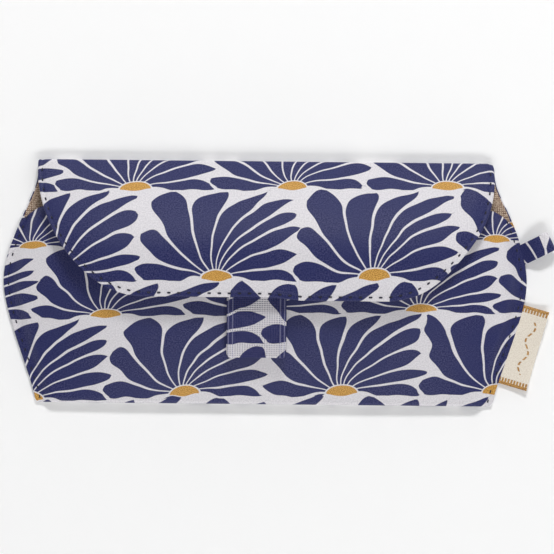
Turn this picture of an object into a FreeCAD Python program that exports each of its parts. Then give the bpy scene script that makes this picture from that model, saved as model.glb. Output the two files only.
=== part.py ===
"""Padded cloth brush case with a fold-over flap, lying on its flat back.

Millimetres. +X runs to the right along the case, +Y from the bottom fold up to the top fold, and +Z out of
the front. The origin is the centre of the back's flat underside. Back, front and flap are each an outer
cloth, a wadding and a lining. Their domed layers are one height field, lifted and thickened upwards.
"""

import FreeCAD, Part
import math
import os

from FreeCAD import Placement, Rotation, Vector

os.makedirs("parts", exist_ok=True)

# Case outline, a hexagon with two straight folds
HALF_HEIGHT = 52.4
TOP_HALF_WIDTH = 98.3
SHOULDER_Y = 43.0
WAIST_Y = 2.0
WAIST_HALF_WIDTH = 116.5
BOTTOM_HALF_WIDTH = 97.6
WAIST_RADIUS = 49.5
CORNER_RADIUS = 2.5
LEAST_CORNER_RADIUS = 0.5

# Cloth layers
CLOTH = 0.4
WADDING = 1.6
PAD = 2 * CLOTH + WADDING
LAYER_GAP = 0.02
FLANGE = 3.5
FLANGE_SOFTNESS = 2.0
FLANGE_TOP = 2 * CLOTH
BACK_SEAM_INSET = 7.5
BACK_TOP_INSET = 1.2

# Dome of the front panel
FRONT_RISE = 21.2
FRONT_PEAK_Y = 10.0
SIDE_RUN = 50.0
MOUTH_CENTRE_Y = 22.0
MOUTH_PEAK = (99.0, 33.0)
MOUTH_SHOULDER = (65.0, 25.5)
MOUTH_SEAM = (107.0, 26.5)

# Flap, and the fold that it swings on
FOLD_GAP = 0.25
FOLD_RADIUS = PAD + FOLD_GAP
HINGE_Y = HALF_HEIGHT - FOLD_RADIUS
HINGE_Z = FOLD_RADIUS
FLAP_ROOT_Z = HINGE_Z + FOLD_GAP
FLAP_CREST_Y = FRONT_PEAK_Y
FLAP_RISE = 23.0
FLAP_FRONT_FALL = 0.8
FLAP_LEVEL_HALF_WIDTH = 40.0
FLAP_SIDE_DROP = 0.5
FLAP_EDGE_Y = -6.5
FLAP_CORNER_TOP = 48.0
FLAP_CORNER_WIDTH = 46.3
FLAP_SIDE_PULL = 23.0
FLAP_FRONT_PULL = 26.0
FLAP_WADDING_INSET = 2.6

# Topstitching
STITCH_PITCH = 4.3
STITCH_LENGTH = 3.1
STITCH_WIDTH = 0.5
STITCH_HEIGHT = 0.25
STITCH_LIFT = 0.05
FLAP_STITCH_INSET = 1.9
SIDE_STITCH_INSET = 2.2
SIDE_STITCH_TOP = 26.0
SIDE_STITCH_LIFT = 0.5
FLAP_STITCH_ROOT = 1.2

# Elastic pull tab, folded double at its free end
TAB_X = -3.4
TAB_WIDTH = 25.6
TAB_TOP_Y = -7.0
TAB_END_Y = -30.9
TAB_LIFT = 0.6
TAB_THICKNESS = 1.9
TAB_ROOT_RADIUS = 0.2

# Hanging loop in the right seam, a folded strip
LOOP_Y = 13.6
LOOP_CLEARANCE = 0.65
LOOP_YAW = 25.0
LOOP_LENGTH = 13.0
LOOP_WIDTH = 8.5
LOOP_HEIGHT = 6.2
LOOP_CLOTH = 0.8
LOOP_FLOOR = 0.4

# Woven label in the right seam, folded double
LABEL_TOP_Y = -9.6
LABEL_CLEARANCE = 0.5
LABEL_LENGTH = 36.2
LABEL_WIDTH = 10.3
LABEL_FLOOR = 0.4
LABEL_THICKNESS = 0.7

# Magnetic snap, one half on each side
SNAP_X = TAB_X
SNAP_Y = FLAP_CREST_Y
SNAP_RADIUS = 6.5
SNAP_WASHER_RADIUS = 7.0
SNAP_WASHER_THICKNESS = 0.5
SNAP_WASHER_DEPTH = 0.9
SNAP_STEM_RADIUS = 2.4
STUD_THICKNESS = 1.0
STUD_BOSS_RADIUS = 2.0
STUD_BOSS_HEIGHT = 0.6
SNAP_GAP = 0.3
SOCKET_THICKNESS = 1.5
SOCKET_WELL_RADIUS = 3.4
SOCKET_WELL_DEPTH = 0.7

# Grid of the height fields
GRID_STEP = 3.5
DEGREE = 3
OVERSIZE = 3.0
TALL = 60.0


def half_width(y):
    """Half-width of the case outline at height y, before its corners are rounded."""
    if y >= SHOULDER_Y:
        return TOP_HALF_WIDTH
    if y >= WAIST_Y:
        share = (SHOULDER_Y - y) / (SHOULDER_Y - WAIST_Y)
        return TOP_HALF_WIDTH + share * (WAIST_HALF_WIDTH - TOP_HALF_WIDTH)
    share = (WAIST_Y - y) / (WAIST_Y + HALF_HEIGHT)
    return WAIST_HALF_WIDTH + share * (BOTTOM_HALF_WIDTH - WAIST_HALF_WIDTH)


def soft_ramp(distance):
    """The distance where it is positive and nothing where it is not, with a rounded start."""
    return (distance + math.hypot(distance, FLANGE_SOFTNESS)) / 2


def front_top(x, y):
    """Height of the front panel's outer face."""
    inset = soft_ramp(half_width(y) - FLANGE - abs(x)) / SIDE_RUN
    climb = soft_ramp(y + HALF_HEIGHT) / (FRONT_PEAK_Y + HALF_HEIGHT)
    lateral = math.sin(math.pi / 2 * min(inset, 1))
    lengthwise = math.sin(math.pi / 2 * climb)
    return FLANGE_TOP + FRONT_RISE * lateral * lengthwise


def flap_under(x, y):
    """Height of the flap lining's inner face."""
    travel = (HINGE_Y - y) / (HINGE_Y - FLAP_CREST_Y)
    if travel > 1:
        travel = 1 + (travel - 1) * FLAP_FRONT_FALL
    spread = max(abs(x) - FLAP_LEVEL_HALF_WIDTH, 0) / (TOP_HALF_WIDTH - FLAP_LEVEL_HALF_WIDTH)
    level = 1 - FLAP_SIDE_DROP * spread ** 2
    return FLAP_ROOT_Z + FLAP_RISE * math.sin(math.pi / 2 * travel) * level


def rounded_polygon(corners):
    """Closed flat wire through corners of (x, y, radius), each rounded by its own arc."""
    count = len(corners)
    edges = []
    ends = []
    for i, (x, y, radius) in enumerate(corners):
        here = Vector(x, y, 0)
        before = Vector(corners[i - 1][0], corners[i - 1][1], 0) - here
        after = Vector(corners[(i + 1) % count][0], corners[(i + 1) % count][1], 0) - here
        before.normalize()
        after.normalize()
        half_angle = before.getAngle(after) / 2
        setback = radius / math.tan(half_angle)
        bisector = before + after
        bisector.normalize()
        middle = here + bisector * (radius / math.sin(half_angle) - radius)
        ends.append((here + before * setback, middle, here + after * setback))
    for i, (start, middle, end) in enumerate(ends):
        edges.append(Part.Arc(start, middle, end).toShape())
        edges.append(Part.LineSegment(end, ends[(i + 1) % count][0]).toShape())
    return Part.Wire(edges)


def case_outline(inset=0.0):
    """Hexagonal outline of the case, moved inwards by inset."""
    y = HALF_HEIGHT - inset
    corner = max(CORNER_RADIUS - inset / 2, LEAST_CORNER_RADIUS)
    right = [
        (BOTTOM_HALF_WIDTH - inset, -y, corner),
        (WAIST_HALF_WIDTH - inset, WAIST_Y, WAIST_RADIUS),
        (TOP_HALF_WIDTH - inset, SHOULDER_Y, corner),
    ]
    top = [(TOP_HALF_WIDTH - inset, y, corner), (-TOP_HALF_WIDTH + inset, y, corner)]
    left = [(-x, y, radius) for x, y, radius in reversed(right)]
    return rounded_polygon(right + top + left)


def flap_outline(inset=0.0, root=HINGE_Y):
    """Flap from its root down to its straight front edge, with long round front corners."""
    side = TOP_HALF_WIDTH - inset
    edge = FLAP_EDGE_Y + inset
    front = side - FLAP_CORNER_WIDTH
    corner = Part.BezierCurve()
    corner.setPoles(
        [
            Vector(side, FLAP_CORNER_TOP, 0),
            Vector(side, FLAP_CORNER_TOP - FLAP_SIDE_PULL, 0),
            Vector(front + FLAP_FRONT_PULL, edge, 0),
            Vector(front, edge, 0),
        ]
    )
    right = corner.toShape()
    left = right.mirror(Vector(), Vector(1, 0, 0))
    lines = [
        (side, FLAP_CORNER_TOP, side, root),
        (side, root, -side, root),
        (-side, root, -side, FLAP_CORNER_TOP),
        (-front, edge, front, edge),
    ]
    straight = [
        Part.LineSegment(Vector(x0, y0, 0), Vector(x1, y1, 0)).toShape() for x0, y0, x1, y1 in lines
    ]
    return Part.Wire(Part.__sortEdges__(straight + [left, right]))


def prism(wire, low, high):
    """Upright solid over a flat outline, between two heights."""
    solid = Part.Face(wire).extrude(Vector(0, 0, high - low))
    return solid.translated(Vector(0, 0, low))


def block(x0, x1, y0, y1, z0, z1):
    return Part.makeBox(x1 - x0, y1 - y0, z1 - z0, Vector(x0, y0, z0))


def grid_lines(low, high):
    """Even positions a little beyond a span, about one grid step apart."""
    low -= OVERSIZE
    high += OVERSIZE
    count = max(math.ceil((high - low) / GRID_STEP), DEGREE)
    return [low + i * (high - low) / count for i in range(count + 1)]


def clamped_knots(poles):
    """Knots and their multiplicities for a spline through a number of poles."""
    spans = poles - DEGREE
    return list(range(spans + 1)), [DEGREE + 1] + [1] * (spans - 1) + [DEGREE + 1]


def sheet(height, outline, low, high):
    """Layer over an outline, from low to high above a height field."""
    box = outline.BoundBox
    columns = grid_lines(box.XMin, box.XMax)
    rows = grid_lines(box.YMin, box.YMax)
    poles = [[Vector(x, y, height(x, y) + low) for y in rows] for x in columns]
    x_knots, x_mults = clamped_knots(len(columns))
    y_knots, y_mults = clamped_knots(len(rows))
    surface = Part.BSplineSurface()
    surface.buildFromPolesMultsKnots(
        poles, x_mults, y_mults, x_knots, y_knots, False, False, DEGREE, DEGREE
    )
    face = surface.toShape().common(prism(outline, -TALL, TALL)).Faces[0]
    return face.extrude(Vector(0, 0, high - low - LAYER_GAP))


def disc(radius, low, high):
    """Round plate on the axis of the snap."""
    return Part.makeCylinder(radius, high - low, Vector(SNAP_X, SNAP_Y, low))


def stitch_row(points):
    """Group of separate stitches along a row of points, one for each step."""
    stitches = []
    for start, end in zip(points, points[1:]):
        along = end - start
        along.normalize()
        stitch = Part.makeBox(
            STITCH_LENGTH, STITCH_WIDTH, STITCH_HEIGHT, Vector(-STITCH_LENGTH / 2, -STITCH_WIDTH / 2, 0)
        )
        stitch.Placement = Placement(
            (start + end) / 2, Rotation(along, Vector(0, 0, 1).cross(along), Vector(0, 0, 1), "XZY")
        )
        stitches.append(stitch)
    return Part.makeCompound(stitches)


def mouth_region():
    """Plan of the front panel: below the mouth, which dips in the middle and peaks near each seam."""
    right = [Vector(x, y, 0) for x, y in (MOUTH_SHOULDER, MOUTH_PEAK, MOUTH_SEAM)]
    left = [Vector(-p.x, p.y, 0) for p in reversed(right)]
    mouth = Part.BSplineCurve()
    mouth.interpolate(left + [Vector(0, MOUTH_CENTRE_Y, 0)] + right)
    below = -HALF_HEIGHT - OVERSIZE
    far = WAIST_HALF_WIDTH + OVERSIZE
    corners = [right[-1], Vector(far, right[-1].y, 0), Vector(far, below, 0)]
    corners += [Vector(-p.x, p.y, 0) for p in reversed(corners)]
    skirt = Part.makePolygon(corners)
    return prism(Part.Wire([mouth.toShape()] + skirt.Edges), -TALL, TALL)


def front_layer(low, high, inset=0.0):
    """Layer of the front panel between two depths measured from its outer face."""
    return sheet(front_top, case_outline(inset), low, high).common(mouth_region())


def above_back(layer):
    """The main piece of a front layer that clears the back's padding."""
    far = WAIST_HALF_WIDTH + OVERSIZE
    clear = layer.cut(block(-far, far, -far, far, -TALL, PAD))
    return max(clear.Solids, key=lambda solid: solid.Volume)


def make_back():
    above_front = front_layer(-CLOTH, TALL)
    upper = prism(case_outline(BACK_TOP_INSET), 0, TALL).common(
        block(-WAIST_HALF_WIDTH, WAIST_HALF_WIDTH, MOUTH_PEAK[1], HINGE_Y, 0, TALL)
    )
    lower = prism(case_outline(BACK_SEAM_INSET), 0, TALL).common(
        block(-WAIST_HALF_WIDTH, WAIST_HALF_WIDTH, -HALF_HEIGHT, MOUTH_PEAK[1], 0, TALL)
    )
    stack = upper.fuse(lower).removeSplitter().cut(above_front)

    def layer(low, high):
        far = WAIST_HALF_WIDTH
        return stack.common(block(-far, far, -HALF_HEIGHT, HALF_HEIGHT, low, high))

    fold_clear = block(-WAIST_HALF_WIDTH, WAIST_HALF_WIDTH, HINGE_Y, HALF_HEIGHT + OVERSIZE, -OVERSIZE, TALL)
    return {
        "back_outer_panel": prism(case_outline(), 0, CLOTH).cut(fold_clear),
        "back_wadding": layer(CLOTH, CLOTH + WADDING),
        "back_lining": layer(CLOTH + WADDING, PAD),
    }


def make_front():
    top = FLANGE_TOP + FRONT_RISE
    washer_top = top - SNAP_WASHER_DEPTH
    washer = disc(SNAP_WASHER_RADIUS, washer_top - SNAP_WASHER_THICKNESS, washer_top)
    stem = disc(SNAP_STEM_RADIUS, washer_top, top)
    stud = disc(SNAP_RADIUS, top, top + STUD_THICKNESS).fuse(stem)
    boss = disc(STUD_BOSS_RADIUS, top + STUD_THICKNESS, top + STUD_THICKNESS + STUD_BOSS_HEIGHT)
    return {
        "front_outer_panel": front_layer(-CLOTH, 0).cut(stem),
        "front_wadding": above_back(front_layer(-CLOTH - WADDING, -CLOTH, FLANGE)).cut(washer).cut(stem),
        "front_lining": above_back(front_layer(-PAD, -CLOTH - WADDING, FLANGE)),
        "front_snap_stud": stud.fuse(boss).removeSplitter(),
        "front_snap_washer": washer,
    }


def make_flap():
    stud_top = FLANGE_TOP + FRONT_RISE + STUD_THICKNESS
    socket_low = stud_top + SNAP_GAP
    socket_high = socket_low + SOCKET_THICKNESS
    crest = FLAP_ROOT_Z + FLAP_RISE
    washer_low = crest + CLOTH
    stem = disc(SNAP_STEM_RADIUS, socket_high, washer_low)
    washer = disc(SNAP_WASHER_RADIUS, washer_low, washer_low + SNAP_WASHER_THICKNESS)
    well = disc(SOCKET_WELL_RADIUS, socket_low, socket_low + SOCKET_WELL_DEPTH)
    socket = disc(SNAP_RADIUS, socket_low, socket_high).cut(well).fuse(stem).removeSplitter()
    return {
        "flap_outer_panel": sheet(flap_under, flap_outline(), PAD - CLOTH, PAD),
        "flap_wadding": sheet(
            flap_under, flap_outline(FLAP_WADDING_INSET), CLOTH, CLOTH + WADDING
        ).cut(stem).cut(washer),
        "flap_lining": sheet(flap_under, flap_outline(), 0, CLOTH).cut(socket),
        "flap_snap_socket": socket,
        "flap_snap_washer": washer,
    }


def fold_layer(inner, outer):
    """Half ring of cloth round the top fold's axis, from the back up to the flap."""
    tube = Part.makeCylinder(
        outer, 2 * TOP_HALF_WIDTH, Vector(-TOP_HALF_WIDTH, HINGE_Y, HINGE_Z), Vector(1, 0, 0)
    )
    core = Part.makeCylinder(
        inner, 2 * TOP_HALF_WIDTH, Vector(-TOP_HALF_WIDTH, HINGE_Y, HINGE_Z), Vector(1, 0, 0)
    )
    beyond = block(
        -TOP_HALF_WIDTH, TOP_HALF_WIDTH, HINGE_Y, HALF_HEIGHT + OVERSIZE, -OVERSIZE, TALL
    )
    return tube.cut(core).common(beyond)


def make_fold():
    return {
        "top_fold_outer": fold_layer(FOLD_RADIUS - CLOTH, FOLD_RADIUS),
        "top_fold_lining": fold_layer(FOLD_GAP, FOLD_RADIUS - CLOTH),
    }


def make_flap_topstitching():
    root = HINGE_Y - FLAP_STITCH_ROOT
    sides = [e for e in flap_outline(FLAP_STITCH_INSET, root).Edges if e.CenterOfMass.y < root]
    path = Part.Wire(Part.__sortEdges__(sides)).discretize(Distance=STITCH_PITCH)
    points = [Vector(p.x, p.y, flap_under(p.x, p.y) + PAD + STITCH_LIFT) for p in path]
    return {"flap_topstitching": stitch_row(points)}


def make_side_topstitching():
    steps = int((SIDE_STITCH_TOP + HALF_HEIGHT) / STITCH_PITCH)
    ring = case_outline(SIDE_STITCH_INSET)
    rows = {}
    for name, side in (("left", -1), ("right", 1)):
        points = []
        for i in range(steps):
            y = SIDE_STITCH_TOP - i * STITCH_PITCH
            cut = Part.makeLine(Vector(0, y, 0), Vector(side * (WAIST_HALF_WIDTH + OVERSIZE), y, 0))
            spot = ring.distToShape(cut)[1][0][0]
            points.append(Vector(spot.x, spot.y, front_top(spot.x, spot.y) + SIDE_STITCH_LIFT))
        rows[name + "_side_topstitching"] = stitch_row(points)
    return rows


def make_pull_tab():
    left = TAB_X - TAB_WIDTH / 2
    corners = [
        (left, TAB_END_Y, CORNER_RADIUS),
        (left + TAB_WIDTH, TAB_END_Y, CORNER_RADIUS),
        (left + TAB_WIDTH, TAB_TOP_Y, TAB_ROOT_RADIUS),
        (left, TAB_TOP_Y, TAB_ROOT_RADIUS),
    ]
    return {
        "elastic_pull_tab": sheet(
            front_top, rounded_polygon(corners), TAB_LIFT, TAB_LIFT + TAB_THICKNESS
        )
    }


def make_side_loop():
    """Flattened ring of folded strip, its eye running across the strip."""
    radius = LOOP_HEIGHT / 2

    def stadium(inset):
        low = Vector(radius, -LOOP_WIDTH / 2, inset)
        high = Vector(radius, -LOOP_WIDTH / 2, LOOP_HEIGHT - inset)
        run = Vector(LOOP_LENGTH - 2 * radius, 0, 0)
        reach = Vector(radius - inset, 0, radius - inset)
        wire = Part.Wire(
            [
                Part.LineSegment(low, low + run).toShape(),
                Part.Arc(low + run, low + run + reach, high + run).toShape(),
                Part.LineSegment(high + run, high).toShape(),
                Part.Arc(high, low + Vector(-reach.x, 0, reach.z), low).toShape(),
            ]
        )
        return Part.Face(wire).extrude(Vector(0, LOOP_WIDTH, 0))

    ring = stadium(0).cut(stadium(LOOP_CLOTH))
    root = Vector(half_width(LOOP_Y) + LOOP_CLEARANCE, LOOP_Y, LOOP_FLOOR)
    ring.Placement = Placement(root, Rotation(Vector(0, 0, 1), LOOP_YAW))
    return {"side_loop": ring}


def make_label():
    low_y = LABEL_TOP_Y - LABEL_LENGTH
    top = Vector(half_width(LABEL_TOP_Y) + LABEL_CLEARANCE, LABEL_TOP_Y, LABEL_FLOOR)
    along = Vector(half_width(low_y) + LABEL_CLEARANCE, low_y, LABEL_FLOOR) - top
    along.normalize()
    across = Vector(0, 0, 1).cross(along)
    corners = [
        top,
        top + along * LABEL_LENGTH,
        top + along * LABEL_LENGTH + across * LABEL_WIDTH,
        top + across * LABEL_WIDTH,
        top,
    ]
    face = Part.Face(Part.makePolygon(corners))
    return {"woven_label": face.extrude(Vector(0, 0, LABEL_THICKNESS))}


def main():
    makers = [
        make_back,
        make_front,
        make_fold,
        make_flap,
        make_flap_topstitching,
        make_side_topstitching,
        make_pull_tab,
        make_side_loop,
        make_label,
    ]
    for make in makers:
        for name, shape in make().items():
            print(name, len(shape.Solids), "solids", round(shape.Volume, 1), "mm3", shape.isValid())
            shape.exportStep(os.path.join("parts", name + ".step"))


main()
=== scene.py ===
"""Looks of the padded brush case: its cloth panels, stitches, tab, loop and label, with light and camera.

Lengths are millimetres in the shape functions and become metres when a mesh is made. The back, the top fold
and the flap are one strip of cloth. A point of the strip is (x, s), with s running up the back, over the
fold and down the flap.
"""

import math
from collections import Counter
from functools import partial, partialmethod

import bmesh
import bpy
import numpy as np
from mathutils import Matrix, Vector, geometry, noise


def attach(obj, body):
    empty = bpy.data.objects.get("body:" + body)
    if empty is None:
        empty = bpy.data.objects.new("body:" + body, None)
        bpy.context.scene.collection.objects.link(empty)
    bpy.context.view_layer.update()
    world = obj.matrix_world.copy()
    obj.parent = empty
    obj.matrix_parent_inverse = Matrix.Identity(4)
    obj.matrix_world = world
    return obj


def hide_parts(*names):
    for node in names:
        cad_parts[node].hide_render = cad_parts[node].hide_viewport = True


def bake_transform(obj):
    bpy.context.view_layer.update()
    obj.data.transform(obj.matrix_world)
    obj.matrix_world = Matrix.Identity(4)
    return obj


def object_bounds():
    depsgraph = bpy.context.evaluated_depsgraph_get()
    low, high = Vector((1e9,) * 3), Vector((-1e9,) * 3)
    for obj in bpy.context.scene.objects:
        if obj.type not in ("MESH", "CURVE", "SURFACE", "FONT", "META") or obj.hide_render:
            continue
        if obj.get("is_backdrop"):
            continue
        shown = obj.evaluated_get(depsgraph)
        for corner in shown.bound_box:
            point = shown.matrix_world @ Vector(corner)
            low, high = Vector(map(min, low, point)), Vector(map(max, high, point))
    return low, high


MM = 0.001

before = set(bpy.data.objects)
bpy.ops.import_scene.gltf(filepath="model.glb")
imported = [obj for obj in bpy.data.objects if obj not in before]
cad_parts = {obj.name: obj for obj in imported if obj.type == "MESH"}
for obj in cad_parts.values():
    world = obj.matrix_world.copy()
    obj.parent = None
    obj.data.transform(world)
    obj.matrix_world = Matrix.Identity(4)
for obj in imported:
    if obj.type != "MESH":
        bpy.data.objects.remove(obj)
CAD_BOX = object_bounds()

# Case outline
HALF_HEIGHT = 52.4
TOP_HALF_WIDTH = 98.3
BOTTOM_HALF_WIDTH = 97.6
SHOULDER_Y = 43.0
WAIST_Y = 2.0
WAIST_HALF_WIDTH = 116.5
WAIST_SOFTNESS = 5.3
SHOULDER_SOFTNESS = 0.8
CORNER_RADIUS = 2.5

# Padding
SEAM_Z = 0.9
PAD_AT_SEAM = 0.9
PAD_FULL = 2.05
PAD_START = 3.0
PAD_RUN = 5.0
LINING = 0.3
LINING_GAP = 0.03
SIDE_RIM = 0.6
BOTTOM_RIM = 2.6
MOUTH_RIM = 1.1
LIP_DEPTH = 0.9
FLAP_RIM = 1.1

# Stitches, and the groove that they pull into the padding
STITCH_PITCH = 4.3
STITCH_LENGTH = 1.8
STITCH_SIDES = 7
FLAP_STITCH_INSET = 1.9
SIDE_STITCH_INSET = 2.2
GROOVE = 0.4
PUCKER = 0.12
PUFF = 0.45

# Top fold and flap
HINGE_Y = 49.75
HINGE_Z = 2.65
FOLD_RADIUS = 2.65
FOLD_RUN = 4.0
FOLD_END_RADIUS = 2.6
FLAP_UNDER_ROOT = 2.9
FLAP_RISE = 23.0
FLAP_PAD = 2.4
FLAP_CREST_Y = 10.0
FLAP_FALL = 0.8
FLAP_LEVEL_HALF_WIDTH = 40.0
FLAP_SIDE_DROP = 0.5
FLAP_EDGE_Y = -6.5
FLAP_CORNER_TOP = 48.0
FLAP_CORNER_WIDTH = 46.3
FLAP_SIDE_PULL = 23.0
FLAP_FRONT_PULL = 26.0
FLAP_RUN = 57.5
EDGE_LIFT = 2.2
EDGE_DIP = 1.2
SHOULDER_OUT = 1.3

S_FOLD = HINGE_Y + HALF_HEIGHT
S_ROOT = S_FOLD + FOLD_RUN
S_EDGE = S_ROOT + FLAP_RUN

# Where the flap's loose corners stand up: middle x and y, spread in x and y, and lift
CORNER_LIFTS = ((-78, 9, 24, 17, 3.2), (80, 9, 22, 15, 1.0))

# Front dome
FRONT_RISE = 17.2
FRONT_PEAK_Y = 10.0
FRONT_STACK = 4.8
SIDE_RUN = 50.0
DOME_START = 3.0
DOME_FOOT = 1.5

# Print: its repeat, the heights at which rows of fans lie, and how the rows slant on the flap and the front
COLUMN_PITCH = 67.3
ROW_PITCH = 41.0
ROW_RISE = 2.0
FLAP_ROW_YS = (3.9, 41.3)
FLAP_COLUMN_X = 11.0
FLAP_COLUMN_LEAN = 2.05
FLAP_ROW_SLANT = 0.016
FRONT_ROW_YS = (-46.0, -10.7, 19.5)
FRONT_COLUMN_X = 33.2
FRONT_COLUMN_STEP = 67.7
FRONT_ROW_SLANT = 0.0235
FRONT_ROW_BEND = 0.000115

MESH_STEP = 1.15
RIM_INSETS = (0.12, 0.3, 0.55, 0.85, 1.2, 1.55, 1.9, 2.25, 2.6, 3.1, 3.7, 4.4, 5.2, 6.1, 7.1)
LINING_INSETS = (0.2, 0.5, 1.0, 1.8)


# ---------------- plain helpers


def smoothstep(low, high, value):
    t = np.clip((np.asarray(value, float) - low) / (high - low), 0, 1)
    return t * t * (3 - 2 * t)


def soft_min(a, b, softness):
    low = np.minimum(a, b)
    return low - softness * np.log(np.exp((low - a) / softness) + np.exp((low - b) / softness))


def rim(distance, radius):
    """Quarter-round profile, 0 at an edge and 1 from one radius inwards."""
    t = np.clip(distance / radius, 0, 1)
    return np.sqrt(1 - (1 - t) ** 2)


def bell(distance, spread):
    """1 at no distance, fading over the spread."""
    return np.exp(-((distance / spread) ** 2))


def soft_ramp(distance, softness=2.0):
    """The distance itself inwards of an edge, easing to 0 outside it."""
    return (distance + np.hypot(distance, softness)) / 2


def from_seam(side, at_seam, full):
    """Thickness that grows inwards from a side seam."""
    return at_seam + (full - at_seam) * smoothstep(0, PAD_RUN, side - PAD_START)


def bumpiness(x, y, wavelength, seed):
    """Smooth noise between about -1 and 1 over a plane."""
    return np.array([noise.noise(Vector((a / wavelength, b / wavelength, seed))) for a, b in zip(x, y)])


def walked(points):
    """Length walked along a line at each of its points."""
    return np.concatenate([[0], np.cumsum(np.linalg.norm(np.diff(points, axis=0), axis=1))])


def evenly(points, count):
    """A number of even points along an open line, ends kept."""
    along = walked(points)
    at = np.linspace(0, along[-1], count)
    return np.column_stack([np.interp(at, along, points[:, 0]), np.interp(at, along, points[:, 1])])


def resampled(points, step):
    """Even points along an open line, about a step apart."""
    return evenly(points, max(int(round(walked(points)[-1] / step)), 1) + 1)


def inward(outline, reach):
    """Inward normals of a closed outline, each from its neighbours a few points away."""
    ahead = np.roll(outline, -reach, 0) - np.roll(outline, reach, 0)
    return np.column_stack([-ahead[:, 1], ahead[:, 0]]) / np.hypot(*ahead.T)[:, None]


def nearest(points, line, closed=False):
    """Distance from each point to a line, and how far along the line its nearest spot is."""
    points = np.atleast_2d(points)
    line = np.vstack([line, line[:1]]) if closed else line
    starts, legs = line[:-1], np.diff(line, axis=0)
    lengths = np.hypot(legs[:, 0], legs[:, 1])
    begun = np.concatenate([[0], np.cumsum(lengths)[:-1]])
    best = np.full(len(points), np.inf)
    along = np.zeros(len(points))
    for first in range(0, len(points), 2000):
        chunk = points[first : first + 2000]
        offset = chunk[:, None, :] - starts[None]
        t = np.clip((offset * legs).sum(2) / np.maximum(lengths**2, 1e-12), 0, 1)
        gap = np.linalg.norm(offset - t[..., None] * legs, axis=2)
        pick = gap.argmin(1)
        rows = np.arange(len(chunk))
        best[first : first + 2000] = gap[rows, pick]
        along[first : first + 2000] = begun[pick] + t[rows, pick] * lengths[pick]
    return best, along


# ---------------- outlines


def half_width(y):
    """Half-width of the case at height y."""
    y = np.asarray(y, float)
    lower_gain = BOTTOM_HALF_WIDTH - WAIST_HALF_WIDTH
    upper_gain = WAIST_HALF_WIDTH - TOP_HALF_WIDTH
    lower = WAIST_HALF_WIDTH + (WAIST_Y - y) * lower_gain / (WAIST_Y + HALF_HEIGHT)
    upper = TOP_HALF_WIDTH + (SHOULDER_Y - y) * upper_gain / (SHOULDER_Y - WAIST_Y)
    waist = soft_min(upper, lower, WAIST_SOFTNESS)
    return -soft_min(-waist, -TOP_HALF_WIDTH + 0 * y, SHOULDER_SOFTNESS)


def arc(cx, cy, rx, ry, start, end, count):
    angles = np.radians(np.linspace(start, end, count))
    return np.column_stack([cx + rx * np.cos(angles), cy + ry * np.sin(angles)])


def flap_corner(inset, count):
    """Right front corner of the flap in (x, s), from its side down to its front edge."""
    side = TOP_HALF_WIDTH - inset
    front = side - FLAP_CORNER_WIDTH
    top = S_EDGE - (FLAP_CORNER_TOP - FLAP_EDGE_Y)
    edge = S_EDGE - inset
    poles = [(side, top), (side, top + FLAP_SIDE_PULL), (front + FLAP_FRONT_PULL, edge), (front, edge)]
    a, b, c, d = np.array(poles)
    t = np.linspace(0, 1, count)[:, None]
    u = 1 - t
    return u**3 * a + 3 * u * u * t * b + 3 * u * t * t * c + t**3 * d


def mirrored(right):
    return np.column_stack([-right[::-1, 0], right[::-1, 1]])


def back_side():
    """Right side of the back in (x, s), from the bottom corner to the fold."""
    corner_x = float(half_width(CORNER_RADIUS - HALF_HEIGHT)) - CORNER_RADIUS
    corner = arc(corner_x, CORNER_RADIUS, CORNER_RADIUS, CORNER_RADIUS, -90, -2, 7)
    s = np.arange(CORNER_RADIUS + 1.0, S_FOLD, 1.0)
    return np.vstack([corner, np.column_stack([half_width(s - HALF_HEIGHT), s])])


def strip_outline():
    """Closed outline of back, fold and flap in (x, s), anticlockwise."""
    right = np.vstack([back_side(), [[TOP_HALF_WIDTH, S_FOLD]], flap_corner(0.0, 90)])
    return resampled(np.vstack([right, mirrored(right), right[:1]]), MESH_STEP)[:-1]


MOUTH_SHARES = (0.0, 0.35, 0.6, 0.8, 0.9, 0.95, 0.975, 1.0)
MOUTH_HEIGHTS = (22.0, 23.2, 24.8, 28.4, 32.2, 32.6, 29.6, 25.0)


def mouth_line():
    """The front panel's upper edge, left to right."""
    shares = np.linspace(0, 1, 80)
    heights = np.interp(shares, MOUTH_SHARES, MOUTH_HEIGHTS)
    for _ in range(2):
        heights[1:-1] = (heights[:-2] + 2 * heights[1:-1] + heights[2:]) / 4
    right = np.column_stack([shares * half_width(heights), heights])
    return np.vstack([mirrored(right)[:-1], right])


def front_side():
    """Right side of the front panel, from the bottom corner to the mouth."""
    side = back_side() - [0, HALF_HEIGHT]
    top = mouth_line()[-1]
    return np.vstack([side[side[:, 1] < top[1] - 0.5], top[None]])


def front_outline():
    """Closed outline of the front panel in (x, y), anticlockwise."""
    right = front_side()
    loop = np.vstack([right, mouth_line()[::-1][1:-1], mirrored(right), right[:1]])
    return resampled(loop, MESH_STEP)[:-1]


# ---------------- surfaces


def flap_section(x):
    """Where the fold hands over to the flap at x: its angle and its y, and the flap's rise from there."""
    spread = np.maximum(np.abs(x) - FLAP_LEVEL_HALF_WIDTH, 0) / (TOP_HALF_WIDTH - FLAP_LEVEL_HALF_WIDTH)
    crest = FLAP_UNDER_ROOT + FLAP_RISE * (1 - FLAP_SIDE_DROP * spread**2) + FLAP_PAD
    angle = np.full(np.shape(x), 0.9)
    for _ in range(6):
        y = HINGE_Y + FOLD_RADIUS * np.cos(angle)
        z = HINGE_Z + FOLD_RADIUS * np.sin(angle)
        slope = (crest - z) * math.pi / 2 / (y - FLAP_CREST_Y)
        angle = np.arctan2(1, slope)
    return angle, y, crest - z


def corner_lift(x, y):
    """How far the flap's loose front corners stand up."""
    return sum(lift * bell(x - cx, wide) * bell(y - cy, tall) for cx, cy, wide, tall, lift in CORNER_LIFTS)


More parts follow.
